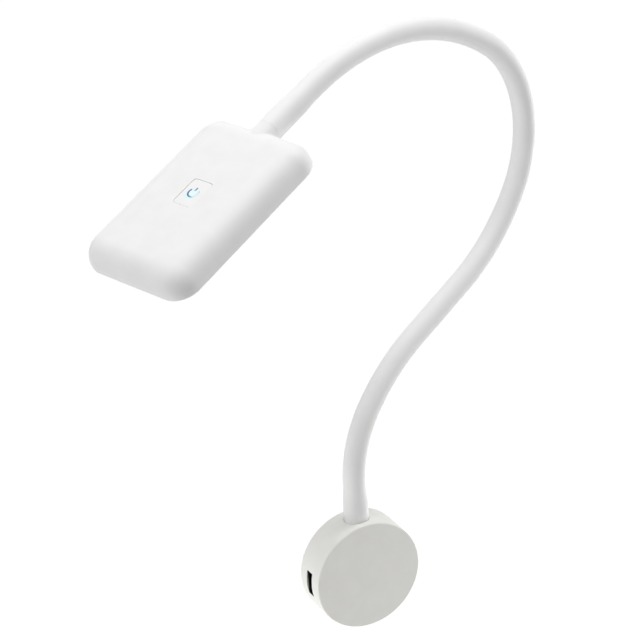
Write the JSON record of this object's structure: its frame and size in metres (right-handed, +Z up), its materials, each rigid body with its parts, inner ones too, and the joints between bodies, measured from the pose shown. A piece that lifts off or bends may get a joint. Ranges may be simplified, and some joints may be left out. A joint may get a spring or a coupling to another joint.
{
  "type": "bedside reading light",
  "caption": "White wall reading light: flat head with a lit push button on a bendable sleeved arm, on a round base with a USB charging socket in its rim.",
  "frame": {"origin": "middle of the wall plate's back face, on the face that the light is screwed to", "axes": "+Y into the wall, +Z up, +X to the right seen from the room; the arm leaves the base upwards"},
  "size_m": [0.2524, 0.1096, 0.2878],
  "materials": {
    "white_plastic": "satin white moulding",
    "silicone": "satin white silicone",
    "spine_steel": "bright wound steel",
    "zinc_steel": "zinc plated",
    "screw_steel": "bright steel",
    "socket_steel": "nickel plated sheet",
    "contact_brass": "gold flashed",
    "tongue_plastic": "black insulator",
    "board_green": "solder mask",
    "black_plastic": "moulded black",
    "capacitor_can": "sleeved can",
    "terminal_green": "moulded green",
    "header_plastic": "moulded ivory",
    "black_rubber": "moulded rubber",
    "wire_cover": "wire insulation",
    "light_board": "white solder mask on aluminium",
    "light_chip": "phosphor in a white case",
    "reflector": "white reflector",
    "opal": "opal acrylic",
    "blue_chip": "blue light chip"
  },
  "bodies": {
    "base": {"wall_plate": "zinc_steel", "cable_grommet": "black_rubber", "grub_screws": "screw_steel", "base_shell": "white_plastic", "usb_shell": "socket_steel", "usb_tongue": "tongue_plastic", "usb_contacts": "contact_brass", "power_board": "board_green", "board_screws": "screw_steel", "power_inductor": "black_plastic", "power_capacitor": "capacitor_can", "power_chip": "black_plastic", "terminal_block": "terminal_green", "base_header": "header_plastic", "foot_ferrule": "zinc_steel", "foot_washer": "screw_steel", "foot_nut": "zinc_steel", "spine_1": "spine_steel"},
    "arm_1": {"spine_2": "spine_steel"},
    "arm_2": {"spine_3": "spine_steel"},
    "arm_3": {"spine_4": "spine_steel", "arm_sleeve": "silicone", "arm_wires": "wire_cover"},
    "arm_4": {"spine_5": "spine_steel"},
    "arm_5": {"spine_6": "spine_steel"},
    "head": {"spine_7": "spine_steel", "top_ferrule": "zinc_steel", "top_washer": "screw_steel", "top_nut": "zinc_steel", "head_shell": "white_plastic", "led_board": "light_board", "leds": "light_chip", "led_screws": "screw_steel", "led_frame": "reflector", "diffuser": "opal", "top_header": "header_plastic", "switch_board": "board_green", "switch_screws": "screw_steel", "link_pins": "contact_brass", "tact_switch": "black_plastic", "symbol_led": "blue_chip"},
    "button": {"switch_plunger": "black_plastic", "button_cap": "white_plastic"}
  },
  "joints": [
    {"name": "arm_sway_1", "type": "hinge", "parent": "base", "child": "arm_1", "pos_m": [0.00858, -0.00646, 0.07578], "axis": [-0.7889, -0.2563, 0.5585], "range_deg": [-30, 30], "deforming": ["arm_sleeve", "arm_wires"]},
    {"name": "arm_bend_1", "type": "hinge", "parent": "arm_1", "child": "arm_2", "pos_m": [0.05602, 0.00895, 0.11126], "axis": [0.309, -0.9511, 0], "range_deg": [-30, 25], "deforming": ["arm_sleeve", "arm_wires"]},
    {"name": "arm_sway_2", "type": "hinge", "parent": "arm_2", "child": "arm_3", "pos_m": [0.1062, 0.02525, 0.14295], "axis": [-0.6862, -0.223, 0.6924], "range_deg": [-30, 30], "deforming": ["arm_sleeve", "arm_wires"]},
    {"name": "arm_bend_2", "type": "hinge", "parent": "arm_3", "child": "arm_4", "pos_m": [0.1245, 0.0312, 0.19926], "axis": [0.309, -0.9511, 0], "range_deg": [-30, 25], "deforming": ["arm_sleeve", "arm_wires"]},
    {"name": "arm_sway_3", "type": "hinge", "parent": "arm_4", "child": "arm_5", "pos_m": [0.08643, 0.01883, 0.24356], "axis": [0.4056, 0.1318, 0.9045], "range_deg": [-30, 30], "deforming": ["arm_sleeve", "arm_wires"]},
    {"name": "arm_bend_3", "type": "hinge", "parent": "arm_5", "child": "head", "pos_m": [0.02903, 0.00018, 0.25468], "axis": [0.309, -0.9511, 0], "range_deg": [-30, 25], "deforming": ["arm_sleeve", "arm_wires"]},
    {"name": "button_press", "type": "slide", "parent": "head", "child": "button", "axis": [0.3732, 0.1763, -0.9109], "range_m": [0, 0.0005], "stiffness_N_per_m": 1500, "springref_m": -0.0004}
  ]
}
